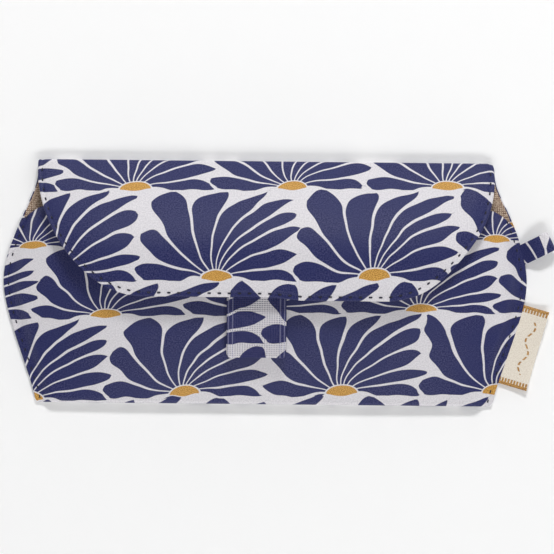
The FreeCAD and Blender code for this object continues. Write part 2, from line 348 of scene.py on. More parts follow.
def shouldered(x, y):
    """The right shoulder stands out a little more than the left."""
    return x + SHOULDER_OUT * bell(y - 27, 17) * smoothstep(60, 100, x)


def strip_face(points):
    """Outer face of the plain strip: on the table, round the fold and over the flap's dome."""
    x, s = points[:, 0], points[:, 1]
    angle, root_y, rise = flap_section(x)
    turn = -math.pi / 2 + np.clip((s - S_FOLD) / FOLD_RUN, 0, 1) * (angle + math.pi / 2)
    down = np.maximum(s - S_ROOT, 0) * (root_y - FLAP_EDGE_Y) / FLAP_RUN
    travel = down / (root_y - FLAP_CREST_Y)
    travel = np.where(travel > 1, 1 + (travel - 1) * FLAP_FALL, travel)
    y = HINGE_Y + FOLD_RADIUS * np.cos(turn) + np.minimum(s - S_FOLD, 0) - down
    z = HINGE_Z + FOLD_RADIUS * np.sin(turn) + rise * np.sin(math.pi / 2 * travel)
    z = z + corner_lift(x, y) * smoothstep(S_ROOT, S_ROOT + 25, s)
    z = z + EDGE_LIFT * smoothstep(S_EDGE - 12, S_EDGE, s)
    y = y - EDGE_DIP * smoothstep(0, 18, x) * smoothstep(S_EDGE - 20, S_EDGE, s)
    return np.column_stack([shouldered(x, y), y, z])


def right_corner_drop(points):
    """How far the fold's right end is rounded down, as the moves of its points."""
    x, s = points[:, 0], points[:, 1]
    near_fold = smoothstep(S_FOLD - 2, S_FOLD, s) * (1 - smoothstep(S_ROOT, S_ROOT + 12, s))
    drop = 2.4 * (1 - rim(TOP_HALF_WIDTH - x, FOLD_END_RADIUS)) * near_fold
    return np.column_stack([0 * x, -drop, 0 * x])


def normals_of(face, points):
    """Outward normals of a surface given over (x, s)."""
    step = 0.05
    across = face(points + [step, 0]) - face(points - [step, 0])
    along = face(points + [0, step]) - face(points - [0, step])
    normal = np.cross(along, across)
    return normal / np.linalg.norm(normal, axis=1)[:, None]


class Panel:
    """A padded panel, given over flat points."""

    @classmethod
    def at_depth(cls, points, share=0.0, extra=0.0):
        """Face at a share of the pad's thickness below the outer face, and a further depth."""
        sunk, pad = cls.profile(points)
        depth = sunk + share * pad + extra
        return cls.face(points) - normals_of(cls.smooth_face, points) * depth[:, None]


class Strip(Panel):
    """Back, fold and flap."""

    outline = strip_outline()
    smooth_face = staticmethod(strip_face)

    @classmethod
    def profile(cls, points):
        """Inward move of the outer face, and the pad's thickness."""
        x, s = points[:, 0], points[:, 1]
        distance, along = nearest(points, cls.outline, closed=True)
        flap = smoothstep(S_FOLD - 8, S_FOLD, s)
        bottom = np.where(s < 12, s, 99)
        side = np.where(flap < 0.01, half_width(s - HALF_HEIGHT) - np.abs(x), distance)
        back_rim = rim(np.minimum(distance, side), SIDE_RIM) * rim(bottom, BOTTOM_RIM)
        flap_rim = rim(distance, FLAP_RIM)
        from_stitches = distance - FLAP_STITCH_INSET
        groove = GROOVE * bell(from_stitches, 0.8) * flap
        pucker = PUCKER * np.cos(2 * math.pi * along / STITCH_PITCH) * bell(from_stitches, 1.6) * flap
        puff = PUFF * smoothstep(2.4, 8, distance) * smoothstep(S_FOLD, S_ROOT + 8, s)
        sunk = SEAM_Z * (1 - back_rim) * (1 - flap) + (1 - flap_rim) * flap
        back_pad = from_seam(side, PAD_AT_SEAM, PAD_FULL) * back_rim
        pad = back_pad * (1 - flap) + (PAD_FULL - groove + puff) * flap_rim * flap
        waves = 0.3 * bumpiness(x, s, 26, 3.1) + 0.12 * bumpiness(x, s, 9, 7.7)
        loose = smoothstep(1, 9, distance) * smoothstep(S_ROOT, S_ROOT + 14, s)
        return sunk + groove * 0.8 + pucker - puff - waves * loose, pad

    @staticmethod
    def face(points):
        return strip_face(points) + right_corner_drop(points)

    @staticmethod
    def cloth(points):
        """Place of each point on the printed cloth, whose rows follow lengths over the strip's middle."""
        x, s = points[:, 0], points[:, 1]
        middle = np.linspace(0, S_EDGE, 400)
        from_edge = walked(strip_face(np.column_stack([0 * middle, middle])))
        from_edge = from_edge[-1] - from_edge
        rows = [S_EDGE - (y - FLAP_EDGE_Y) for y in FLAP_ROW_YS]
        low, high = np.interp(rows, middle, from_edge)
        here = np.interp(s, middle, from_edge)
        v = ROW_PITCH + (here - low) * ROW_PITCH / (high - low) + ROW_RISE - FLAP_ROW_SLANT * x
        u = x - FLAP_COLUMN_X - FLAP_COLUMN_LEAN * np.clip(2 - v / ROW_PITCH, -0.6, 1.6)
        return np.column_stack([u, v, 0 * x])


def front_height(x, y):
    """Height of the layers at the front panel's outer face, and of its dome above them."""
    side = half_width(y) - np.abs(x)
    inset = np.minimum(soft_ramp(side - DOME_START) / SIDE_RUN, 1)
    climb = soft_ramp(y + HALF_HEIGHT - DOME_FOOT) / (FRONT_PEAK_Y + HALF_HEIGHT - DOME_FOOT)
    dome = FRONT_RISE * np.sin(math.pi / 2 * inset) * np.sin(math.pi / 2 * climb)
    return from_seam(side, 2 * PAD_AT_SEAM, FRONT_STACK), dome


def length_across(x, y, steps=24):
    """Length over the front's dome from its middle to x, at height y."""
    xs = np.linspace(0, 1, steps + 1)[:, None] * x
    heights = front_height(xs, y + 0 * xs)[1]
    return np.sign(x) * np.hypot(np.diff(xs, axis=0), np.diff(heights, axis=0)).sum(0)


def front_face(points):
    """Outer face of the plain front, with its edges rounded."""
    x, y = points[:, 0], -points[:, 1]
    pinch = rim(half_width(y) - np.abs(x), SIDE_RIM) * rim(y + HALF_HEIGHT, BOTTOM_RIM)
    stack, dome = front_height(x, y)
    return np.column_stack([shouldered(x, y), y, SEAM_Z + (stack - SEAM_Z) * pinch + dome])


def front_smooth(points):
    """The front's face without its rounded edges, which its normals follow."""
    x, y = points[:, 0], -points[:, 1]
    stack, dome = front_height(x, y)
    return np.column_stack([shouldered(x, y), y, stack + dome])


class Front(Panel):
    """The front panel. Its points are (x, -y), so that its outward side is up, as the flap's is."""

    outline = front_outline()[::-1] * [1, -1]
    mouth = mouth_line() * [1, -1]
    face = staticmethod(front_face)
    smooth_face = staticmethod(front_smooth)

    @classmethod
    def profile(cls, points):
        """Inward move of the outer face, and the pad's thickness."""
        x, y = points[:, 0], -points[:, 1]
        side = half_width(y) - np.abs(x)
        bottom = y + HALF_HEIGHT
        lip = rim(nearest(points, cls.mouth)[0], MOUTH_RIM)
        pad = from_seam(side, PAD_AT_SEAM, PAD_FULL) * rim(side, SIDE_RIM) * rim(bottom, BOTTOM_RIM) * lip
        sunk = LIP_DEPTH * (1 - lip) + 0.15 * bell(side - SIDE_STITCH_INSET, 0.7)
        turn = math.pi * y / STITCH_PITCH + 2 * bumpiness(x, y, 14, 2)
        pull = bell(side - 7, 6) * np.cos(turn)
        waves = 0.3 * bumpiness(x, y, 30, 5.2) + 0.1 * bumpiness(x, y, 9, 1.7) + PUCKER * pull
        loose = smoothstep(2, 9, side) * smoothstep(1, 8, bottom)
        return sunk - waves * loose, pad

    @staticmethod
    def under(points):
        """Just inside the back's underside, where the side stitches come out."""
        x, y = points[:, 0], -points[:, 1]
        return np.column_stack([shouldered(x, y), y, 0 * x + 0.25])

    @staticmethod
    def cloth(points):
        """Place of each point on the printed cloth, whose columns follow lengths over the dome."""
        x, y = points[:, 0], -points[:, 1]
        rows = np.polyfit(FRONT_ROW_YS, [10, 11, 12], 2)
        skewed = y + ROW_RISE - FRONT_ROW_SLANT * x + FRONT_ROW_BEND * x * x
        u = (length_across(x, y) - FRONT_COLUMN_X) * COLUMN_PITCH / FRONT_COLUMN_STEP
        return np.column_stack([u, ROW_PITCH * np.polyval(rows, skewed), 0 * x])


# ---------------- meshes


def flat_mesh(outline, step, insets, rows=()):
    """Triangles over an outline, with even rings along its edge and a lattice inside."""
    inner = []
    for inset in insets:
        ring = outline + inward(outline, 1) * inset
        inner.append(ring[nearest(ring, outline, closed=True)[0] > inset - 0.02])
    low, high = outline.min(0), outline.max(0)
    ys = np.arange(low[1] + step / 2, high[1], step)
    if len(rows):
        ys = np.sort(np.concatenate([ys[(ys < rows[0] - step / 2) | (ys > rows[-1] + step / 2)], rows]))
    grid = np.stack(np.meshgrid(np.arange(low[0] + step / 2, high[0], step), ys), -1).reshape(-1, 2)
    away, _ = nearest(grid, outline, closed=True)
    inner.append(grid[inside(grid, outline) & (away > insets[-1] + step * 0.55)])
    corners = [Vector(p) for p in outline]
    others = [Vector(p) for p in np.vstack(inner)]
    edges = [(i, (i + 1) % len(corners)) for i in range(len(corners))]
    result = geometry.delaunay_2d_cdt(corners + others, edges, [], 1, 1e-6)
    return np.array([tuple(p) for p in result[0]]), [tuple(face) for face in result[2]]


def inside(points, outline):
    """Which points lie within a closed outline."""
    x, y = points[:, 0], points[:, 1]
    result = np.zeros(len(points), bool)
    for (x0, y0), (x1, y1) in zip(outline, np.roll(outline, -1, 0)):
        crosses = (y0 > y) != (y1 > y)
        with np.errstate(divide="ignore", invalid="ignore"):
            result ^= crosses & (x < (x1 - x0) * (y - y0) / (y1 - y0) + x0)
    return result


def new_piece(name, verts, faces, cloth, slot, material, body=None):
    """A smooth mesh object in metres, with its place on the cloth kept at each vertex."""
    mesh = bpy.data.meshes.new(name)
    mesh.from_pydata((np.asarray(verts) * MM).tolist(), [], faces)
    mesh.validate()
    place = mesh.attributes.new("cloth", "FLOAT_VECTOR", "POINT")
    place.data.foreach_set("vector", np.asarray(cloth, np.float32).ravel())
    mesh.materials.append(material)
    mesh.shade_smooth()
    piece = bpy.data.objects.new(name, mesh)
    bpy.context.scene.collection.objects.link(piece)
    if body:
        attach(piece, body)
    return piece


def quads_from_triangles(work):
    """Join pairs of flat triangles."""
    bmesh.ops.join_triangles(work, faces=work.faces[:], angle_face_threshold=0.3, angle_shape_threshold=0.6)


def on_outline(faces, count):
    """Which of the points lie on an edge that only one face uses."""
    uses = Counter(frozenset(edge) for face in faces for edge in zip(face, face[1:] + face[:1]))
    result = np.zeros(count, bool)
    for edge, times in uses.items():
        if times == 1:
            result[list(edge)] = True
    return result


def rework(piece, change=None):
    """Change a piece's mesh, and turn all its faces outwards."""
    work = bmesh.new()
    work.from_mesh(piece.data)
    if change:
        change(work)
    bmesh.ops.recalc_face_normals(work, faces=work.faces[:])
    work.to_mesh(piece.data)
    work.free()


def shell(name, flat, top, bottom, cloth, slot, material):
    """Closed piece from a flat triangle mesh, its upper and lower faces meeting at the outline."""
    points, faces = flat
    free = ~on_outline(faces, len(points))
    upper, lower = top(points), bottom(points)
    upper[~free] = (upper[~free] + lower[~free]) / 2
    index = np.arange(len(points))
    index[free] = len(points) + np.arange(free.sum())
    verts = np.vstack([upper, lower[free]])
    places = np.vstack([cloth, cloth[free]])
    under = [tuple(int(index[i]) for i in reversed(face)) for face in faces]
    piece = new_piece(name, verts, list(faces) + under, places, slot, material)
    rework(piece, quads_from_triangles)
    return piece


def tube_faces(rings, size):
    """Faces of a tube of equal rings of points, with a cap at each end."""
    faces = []
    for i in range(rings - 1):
        for j in range(size):
            k = (j + 1) % size
            faces.append((i * size + j, i * size + k, (i + 1) * size + k, (i + 1) * size + j))
    faces.append(tuple(range(size))[::-1])
    faces.append(tuple((rings - 1) * size + j for j in range(size)))
    return faces


def swept_band(name, sections, cloth, slot, material):
    """Closed band from equal rings of points, capped at both ends."""
    faces = tube_faces(len(sections), len(sections[0]))
    piece = new_piece(name, np.vstack(sections), faces, np.vstack(cloth), slot, material)
    rework(piece)
    return piece


# ---------------- shader arithmetic


class Num:
    """A number in a shader graph that takes ordinary arithmetic."""

    def __init__(self, tree, socket):
        self.tree, self.socket = tree, socket

    def apply(self, operation, *others):
        node = self.tree.nodes.new("ShaderNodeMath")
        node.operation = operation
        for slot, value in zip(node.inputs, (self, *others)):
            feed(self.tree, slot, value)
        return Num(self.tree, node.outputs[0])

    __add__ = partialmethod(apply, "ADD")
    __sub__ = partialmethod(apply, "SUBTRACT")
    __mul__ = partialmethod(apply, "MULTIPLY")
    __truediv__ = partialmethod(apply, "DIVIDE")
    less = partialmethod(apply, "MINIMUM")
    more = partialmethod(apply, "MAXIMUM")
    power = partialmethod(apply, "POWER")
    sin = partialmethod(apply, "SINE")
    cos = partialmethod(apply, "COSINE")
    abs = partialmethod(apply, "ABSOLUTE")
    floor = partialmethod(apply, "FLOOR")
    root = partialmethod(apply, "SQRT")

    def wave(self, length):
        return (self * (2 * math.pi / length)).sin()

    def cos_wave(self, length):
        return (self * (2 * math.pi / length)).cos()

    def fraction(self):
        return self - self.floor()

    def ramp(self, low, high, to_low=0.0, to_high=1.0):
        node = self.tree.nodes.new("ShaderNodeMapRange")
        node.interpolation_type = "SMOOTHSTEP"
        for slot, value in zip(node.inputs, (self, low, high, to_low, to_high)):
            feed(self.tree, slot, value)
        return Num(self.tree, node.outputs["Result"])


def feed(tree, slot, value):
    """Give a node's input a plain value, or link it to a number or a socket."""
    if isinstance(value, Num):
        value = value.socket
    if isinstance(value, bpy.types.NodeSocket):
        tree.links.new(value, slot)
    else:
        slot.default_value = value


def split(tree, socket):
    node = tree.nodes.new("ShaderNodeSeparateXYZ")
    tree.links.new(socket, node.inputs[0])
    return [Num(tree, out) for out in node.outputs]


def chance(tree, *numbers):
    """Three random numbers that stay the same for the same inputs."""
    joined = tree.nodes.new("ShaderNodeCombineXYZ")
    for slot, number in zip(joined.inputs, numbers):
        feed(tree, slot, number)
    node = tree.nodes.new("ShaderNodeTexWhiteNoise")
    node.noise_dimensions = "3D"
    feed(tree, node.inputs["Vector"], joined.outputs[0])
    return split(tree, node.outputs["Color"])


def cloud(tree, vector, per_mm, detail=2.0, roughness=0.5, output="Fac"):
    """Noise over the cloth: one number, or the colour that holds three."""
    node = tree.nodes.new("ShaderNodeTexNoise")
    for slot, value in (("Vector", vector), ("Scale", per_mm), ("Detail", detail), ("Roughness", roughness)):
        feed(tree, node.inputs[slot], value)
    return Num(tree, node.outputs[output])


def blend_colours(tree, share, first, second):
    node = tree.nodes.new("ShaderNodeMix")
    node.data_type = "RGBA"
    for slot, value in ((node.inputs[0], share), (node.inputs[6], first), (node.inputs[7], second)):
        feed(tree, slot, value)
    return node.outputs[2]


def srgb(r, g, b):
    """Linear colour from 0 to 255 display values."""
    parts = [c / 255 for c in (r, g, b)]
    return tuple(c / 12.92 if c <= 0.04045 else ((c + 0.055) / 1.055) ** 2.4 for c in parts) + (1.0,)


def shader_input(tree, name):
    return tree.nodes["Principled BSDF"].inputs[name]


def new_material(name, **uniform):
    """Material and its node tree, with uniform values set on the shader's own sockets."""
    material = bpy.data.materials.new(name)
    material.use_nodes = True
    for key, value in uniform.items():
        shader_input(material.node_tree, key.replace("_", " ")).default_value = value
    return material, material.node_tree


def cloth_place(tree):
    """Place on the cloth, in millimetres."""
    node = tree.nodes.new("ShaderNodeAttribute")
    node.attribute_name = "cloth"
    return node.outputs["Vector"]


def dressed(material, colour, height, depth, strength=1.0):
    """The material, given its colour and a bump of some depth in millimetres."""
    tree = material.node_tree
    node = tree.nodes.new("ShaderNodeBump")
    for slot, value in (("Distance", depth * MM), ("Strength", strength), ("Height", height)):
        feed(tree, node.inputs[slot], value)
    feed(tree, shader_input(tree, "Normal"), node.outputs["Normal"])
    feed(tree, shader_input(tree, "Base Color"), colour)
    return material


# ---------------- the print

PETALS = 10
PETAL_CROWDING = 0.75
PETAL_BIAS = 0.24
PETAL_GAP = 0.16
GAP_GROWTH = 0.012
FAN_SPREAD = 1.6
SWIRL_RADIUS = 34.0
DRIFT_SIZE = 15
DRIFT_ACROSS = 3.6
DRIFT_DOWN = 2.6
SWAY = 1.4
SIDE_WAVES = 3
SIDE_WAVE = 1.7
FOOT_WAVES = 4
FOOT_WAVE = 0.9
FOOT_DROOP = 3.2
ROW_DROP = 0.9
TIP_GAP = 0.25
TIP_OVERREACH = 0.8
TIP_LENGTH = 12.5
TIP_FULLNESS = 2.6
CENTRE_HALF_WIDTH = 6.4
CENTRE_HEIGHT = 4.7

# Threads of the cloths
WEAVE_PITCH = 0.55
LINING_PITCH = 0.9
RIB_PITCH = 0.85
EYELET_PITCH = 2.1
CORD_PLACES = (12.0, 10.2)
ZIGZAG_PITCH = 1.3
DASH_PITCH = 2.6
LINE_HALF_WIDTH = 0.42


def fan_cell(u, v):
    """Place within a fan, measured from its centre, and which column and row it is in."""
    row = ((v + ROW_DROP) / ROW_PITCH).floor()
    odd = (row / 2).fraction() * 2
    shifted = u - odd * (COLUMN_PITCH / 2)
    column = (shifted / COLUMN_PITCH + 0.5).floor()
    return shifted - column * COLUMN_PITCH, v - row * ROW_PITCH, column, row


def waved_place(tree, place):
    """Place on the cloth, pushed about so that no fan is quite like the next and their borders wave."""
    u, v, _ = split(tree, place)
    drift = split(tree, cloud(tree, place, 1 / DRIFT_SIZE, 1.0, output="Color").socket)
    u = u + (drift[0] - 0.5) * DRIFT_ACROSS + (v.cos_wave(ROW_PITCH) - 1.0) * SWAY
    v = v + (drift[1] - 0.5) * DRIFT_DOWN
    x, y, _, _ = fan_cell(u, v)
    at_sides = (x * (2 / COLUMN_PITCH)).power(4.0)
    at_feet = (y * (2 / ROW_PITCH) - 1.0).power(8.0).less(1.0)
    u = u + y.wave(ROW_PITCH / SIDE_WAVES) * at_sides * SIDE_WAVE
    edge = ((v + ROW_DROP) / ROW_PITCH + 0.5).floor()
    from_centre = u - (edge / 2).fraction() * COLUMN_PITCH
    droop = from_centre.cos_wave(COLUMN_PITCH) * -1.0 + 1.0
    ripple = u.cos_wave(COLUMN_PITCH / FOOT_WAVES) - 1.0
    return u, v + (ripple * FOOT_WAVE + droop * (FOOT_DROOP / 2)) * at_feet


def petal_axes(x, y, fan):
    """Distance from a fan's centre, petal number there, and how fast that number grows per millimetre."""
    radius = (x * x + y * y).root().more(0.5)
    angle = y.apply("ARCTAN2", x)
    swirl = (fan[0] * 0.25 + 0.45) / SWIRL_RADIUS
    lean = angle.sin() + (angle * 2.0).sin() * 0.25
    lean_rate = angle.cos() + (angle * 2.0).cos() * 0.5
    turned = angle + lean * radius * swirl
    shift = (fan[1] - 0.5) * FAN_SPREAD
    bunch = turned * 4.0 + shift
    uncrowded = (turned - turned.sin() * PETAL_BIAS) * (PETALS / math.pi)
    petal_at = uncrowded + (bunch.sin() - shift.sin()) * (PETAL_CROWDING / 4)
    density = bunch.cos() * PETAL_CROWDING + (turned.cos() * -PETAL_BIAS + 1.0) * (PETALS / math.pi)
    slant = lean * swirl
    spin = (lean_rate * radius * swirl + 1.0).more(0.2) / radius
    return radius, petal_at, density * (slant * slant + spin * spin).root()


def fan_print(tree, place):
    """Signed distances, positive inside, to the petals and to the gold centres of the fan print."""
    x, y, column, row = fan_cell(*waved_place(tree, place))
    radius, petal_at, gradient = petal_axes(x, y, chance(tree, column, row, 4.0))
    from_axis = (petal_at.fraction() - 0.5).abs() / gradient
    petal = chance(tree, petal_at.floor(), column, row)
    thinner = petal[1] * (radius / 30.0).less(1.0)
    half = gradient.power(-1.0) * 0.5 - radius * GAP_GROWTH - thinner * 0.15 - PETAL_GAP
    border = (x.abs() * -1.0 + COLUMN_PITCH / 2).less(y * -1.0 + (ROW_PITCH - ROW_DROP))
    onward = border + TIP_OVERREACH - petal[0].power(3.0) * 3.0
    left = (onward / -TIP_LENGTH + 1.0).more(0.0).less(1.0)
    narrowing = left.power(TIP_FULLNESS) * -1.0 + 1.0
    petals = (half * narrowing - from_axis).less(border - TIP_GAP)

    reach = (x / CENTRE_HALF_WIDTH).power(2.0) + ((y + 0.7) / CENTRE_HEIGHT).power(2.0)
    beyond = (reach.root() - 1.0) * 4.8
    petals = petals.less(y - 0.05).less(beyond - 0.55)
    return petals, (beyond * -1.0).less(y + 0.75)


def printed_colour(tree, place):
    petals, centre = fan_print(tree, place)
    fine = cloud(tree, place, 1.6)
    broad = cloud(tree, place, 0.06, 1.0)
    grain = cloud(tree, place, 2.6, 1.0, 0.7)
    navy = blend_colours(tree, fine.ramp(0.36, 0.64), srgb(21, 31, 82), srgb(60, 60, 104))
    navy = blend_colours(tree, broad.ramp(0.35, 0.65, 0.0, 0.6), navy, srgb(40, 45, 94))
    white = blend_colours(tree, fine.ramp(0.35, 0.65), srgb(212, 209, 214), srgb(228, 225, 229))
    gold = blend_colours(tree, grain.ramp(0.4, 0.6), srgb(168, 118, 48), srgb(222, 174, 92))
    colour = blend_colours(tree, petals.ramp(-0.12, 0.12), white, navy)
    return blend_colours(tree, centre.ramp(-0.12, 0.12), colour, gold)


def make_printed_cloth():
    material, tree = new_material("printed_cloth", Roughness=0.55, Specular_IOR_Level=0.25)
    place = cloth_place(tree)
    u, v, _ = split(tree, place)
    threads = u.wave(WEAVE_PITCH) * v.wave(WEAVE_PITCH) * 0.35 + cloud(tree, place, 1.1)
    return dressed(material, printed_colour(tree, place), threads, 0.06, 0.6)


def make_printed_elastic():
    """The print on coarse knitted elastic: ribs across, and a heavier cord pair along each edge."""
    material, tree = new_material("printed_elastic", Roughness=0.75, Specular_IOR_Level=0.25)
    place = cloth_place(tree)
    u, v, across = split(tree, place)
    eyelets = (v.wave(2 * RIB_PITCH) * u.wave(EYELET_PITCH)).abs()
    knots = eyelets.ramp(0.45, 0.95)
    from_cords = [(across.abs() - cord).abs() for cord in CORD_PLACES]
    cords = from_cords[0].less(from_cords[1]).ramp(0.1, 0.4, 1.0, 0.0)
    colour = printed_colour(tree, place)
    colour = blend_colours(tree, knots * 0.7, colour, srgb(74, 70, 114))
    colour = blend_colours(tree, cords * 0.35, colour, srgb(170, 170, 200))
    height = v.wave(RIB_PITCH) * 0.35 - knots * 0.8 + cords * 0.6 + cloud(tree, place, 1.4)
    return dressed(material, colour, height, 0.2, 0.8)


def make_lining_cloth():
    """Beige and brown speckled weave."""
    material, tree = new_material("lining_cloth", Roughness=0.85, Specular_IOR_Level=0.2)
    place = cloth_place(tree)
    u, v, _ = split(tree, place)
    warp, weft = [(thread.wave(LINING_PITCH) + 1.0) * 0.5 for thread in (u, v)]
    threads = warp * weft * 0.3 + cloud(tree, place, 1.3, 2.0, 0.7) * 0.95
    colour = blend_colours(tree, threads.ramp(0.35, 0.75), srgb(112, 84, 66), srgb(206, 186, 166))
    return dressed(material, colour, threads, 0.15, 0.8)


def make_thread():
    """Dark twisted sewing thread."""
    material, tree = new_material("thread", Roughness=0.45)
    u, v, _ = split(tree, cloth_place(tree))
    twist = ((u * 9.0 + v * 3.0).sin() + 1.0) * 0.5
    return dressed(material, blend_colours(tree, twist, srgb(3, 5, 30), srgb(10, 13, 50)), twist, 0.05)


def make_label_weave():
    """Cream satin label with gold zigzags at its ends and a plain row of gold stitches."""
    material, tree = new_material("label_weave", Roughness=0.5)
    place = cloth_place(tree)
    across, along, length = split(tree, place)
    end = along.less(length - along)
    teeth = ((across / ZIGZAG_PITCH).fraction() - 0.5).abs() * -ZIGZAG_PITCH + LINE_HALF_WIDTH
    line = teeth.less(end * -1.0 + 2.9)
    bar = end * -1.0 + 1.3
    dash = ((along / DASH_PITCH).fraction() - 0.5).abs() * -DASH_PITCH + 0.85
    wave = (across - 5.4 + (along * 0.55).sin() * 1.3).abs() * -1.0 + LINE_HALF_WIDTH
    motif = dash.less(wave).less(end - 6.0)
    gold_share = line.more(bar).more(motif).ramp(-0.1, 0.1)
    fine = cloud(tree, place, 2.2)
    cream = blend_colours(tree, fine.ramp(0.3, 0.7), srgb(228, 217, 200), srgb(246, 238, 224))
    gold = blend_colours(tree, fine.ramp(0.4, 0.6), srgb(150, 100, 40), srgb(206, 158, 84))
    ribs = along.wave(0.5) * 0.4 + across.wave(0.35) * 0.2
    return dressed(material, blend_colours(tree, gold_share, cream, gold), ribs + gold_share * 1.5, 0.08, 0.8)


def make_snap_metal():
    """Nickel-plated snap, finely scuffed."""
    material, tree = new_material("snap_metal", Metallic=1.0, Roughness=0.28)
    place = tree.nodes.new("ShaderNodeTexCoord").outputs["Object"]
    scuffs = cloud(tree, place, 900.0, 3.0)
    colour = blend_colours(tree, scuffs, srgb(176, 172, 164), srgb(212, 209, 202))
    return dressed(material, colour, scuffs, 0.02)


# ---------------- cloth pieces


def fold_rows(count):
    """Even lattice rows round the fold, where the strip bends most."""
    return np.linspace(S_FOLD - 0.6, S_ROOT + 3.0, count)


def make_panels(material):
    """The two padded panels: back with fold and flap, and front."""
    panels = []
    for name, part, rows in (("back_and_flap_pad", Strip, fold_rows(24)), ("front_pad", Front, ())):
        flat = flat_mesh(part.outline, MESH_STEP, RIM_INSETS, rows)
        inner = partial(part.at_depth, share=1.0)
        panels.append(shell(name, flat, part.at_depth, inner, part.cloth(flat[0]), "printed_cloth", material))
    return panels


def inset_outline(outline, inset):
    """An outline moved inwards by an amount that may differ from point to point."""
    moved = outline + inward(outline, 2) * inset[:, None]
    loop = moved[nearest(moved, outline, closed=True)[0] > inset - 0.05]
    return resampled(np.vstack([loop, loop[:1]]), 1.5 * MESH_STEP)[:-1]


def strip_lining_inset():
    """The lining reaches the edge where it shows, and stops at the seams where the front is sewn on."""
    s = Strip.outline[:, 1]
    sewn = 1 - smoothstep(24 + HALF_HEIGHT, 29 + HALF_HEIGHT, s)
    return 0.45 + 2.8 * sewn + 0.35 * smoothstep(S_FOLD, S_ROOT, s)


def make_linings(material):
    """The lining of each panel, just inside its padding."""
    near_mouth = nearest(Front.outline, Front.mouth)[0] < 1.5
    linings = []
    for name, part, inset, rows in (
        ("back_and_flap_lining", Strip, strip_lining_inset(), fold_rows(16)),
        ("front_lining_sheet", Front, np.where(near_mouth, 0.5, 3.2), ()),
    ):
        flat = flat_mesh(inset_outline(part.outline, inset), 1.7 * MESH_STEP, LINING_INSETS, rows)
        faces = [partial(part.at_depth, share=1.0, extra=LINING_GAP + depth) for depth in (0, LINING)]
        cloth = np.column_stack([flat[0], 0 * flat[0][:, 0]])
        linings.append(shell(name, flat, *faces, cloth, "lining_cloth", material))
    return linings


# ---------------- stitches


def stitch_meshes(centres, directions, outward, radius):
    """Small arched threads, one at each centre."""
    verts, faces, places = [], [], []
    bends = np.linspace(-1, 1, 7)
    turns = 2 * math.pi * np.arange(STITCH_SIDES) / STITCH_SIDES
    thread = tube_faces(len(bends), STITCH_SIDES)
    for centre, direction, normal in zip(centres, directions, outward):
        sideways = np.cross(normal, direction)
        sideways /= np.linalg.norm(sideways)
        along = np.cross(sideways, normal)
        faces += [tuple(len(verts) + i for i in reversed(face)) for face in thread]
        for bend in bends:
            run = bend * STITCH_LENGTH / 2
            size = radius * math.sqrt(max(1 - abs(bend) ** 5 * 0.8, 0))
            middle = centre + along * run + normal * (0.12 - 0.5 * bend**4)
            for turn in turns:
                verts.append(middle + (sideways * math.cos(turn) + normal * math.sin(turn) * 0.8) * size)
                places.append((run, turn, 0))
    return verts, faces, places


def stitch_row(name, line, outer, inner, material, body, radius):
    """A row of stitches along a line of flat points, on both faces of the cloth."""
    spots = resampled(line, STITCH_PITCH)
    verts, faces, places = [], [], []
    for surface, side in ((outer, 1), (inner, -1)):
        centres = surface(spots)
        directions = np.gradient(centres, axis=0)
        normals = normals_of(surface, spots) * side
        more_verts, more_faces, more_places = stitch_meshes(centres, directions, normals, radius)
        faces += [tuple(i + len(verts) for i in face) for face in more_faces]
        verts += more_verts
        places += more_places
    return new_piece(name, verts, faces, places, "thread", material, body)


def make_stitches(thread):
    """The stitches round the flap, and those down both sides."""
    right = flap_corner(FLAP_STITCH_INSET, 80)
    line = np.vstack([right, mirrored(right)])
    inner = partial(Strip.at_depth, share=1.0, extra=LINING_GAP + LINING)
    flap = stitch_row("flap_stitches", line, Strip.at_depth, inner, thread, "flap", radius=0.36)
    rows = []
    y = np.linspace(27.0, -50.0, 80)
    for name, side in (("left_side_stitches", -1), ("right_side_stitches", 1)):
        line = np.column_stack([side * (half_width(y) - SIDE_STITCH_INSET), -y])
        rows.append(stitch_row(name, line, Front.at_depth, Front.under, thread, "case", radius=0.3))
    return flap, rows


# ---------------- tab, loop and label

TAB_X = -3.4
TAB_WIDTH = 25.6
TAB_END_Y = -30.4
TAB_ROOT_Y = -4.6
TAB_LAYER = 0.85
TAB_GAP = 0.75
TAB_FOLD_GAP = 0.24
TAB_BOW = 0.25
TAB_STAND_OFF = 2.0
TAB_TUCK = 0.7
TAB_PRINT = (-3.0, 8.0)
RIB_PLACES = (11.6, 10.0)
RIB_HEIGHT = 0.16

UPWARDS = np.array([0, 0, 1])


def band_profile(width, thickness, ribs, corner=0.35):
    """Ring of (across, height) round a flat band's section, with raised ribs on both faces."""
    across = np.linspace(-1, 1, 57)
    edge = rim((1 - np.abs(across)) * width / 2, corner)
    height = thickness / 2 * edge
    for rib in ribs:
        height = height + RIB_HEIGHT * bell(np.abs(across) * width / 2 - rib, 0.5)
    upper = np.column_stack([across * width / 2, height])
    lower = np.column_stack([across[::-1] * width / 2, -height[::-1]])[1:-1]
    return np.vstack([upper, lower])


def fold_path(root, end, low, high):
    """Line out along a lower layer, round a fold and back along an upper layer, as (run, height)."""
    radius = (high - low) / 2
    out = np.column_stack([np.linspace(root, end - radius, 34), np.full(34, low)])
    turn = arc(end - radius, (low + high) / 2, radius, radius, -90, 90, 15)[1:-1]
    return np.vstack([out, turn, out[::-1] * [1, 0] + [0, high]])


def rings(path, profile):
    """For each point of a path: length walked, its run, and its ring's runs and heights."""
    tangent = np.gradient(path, axis=0)
    tangent /= np.linalg.norm(tangent, axis=1)[:, None]
    for at, point, (forwards, upwards) in zip(walked(path), path, tangent):
        ring = point + profile[:, 1:] * [-upwards, forwards]
        yield at, point[0], ring[:, 0], ring[:, 1]


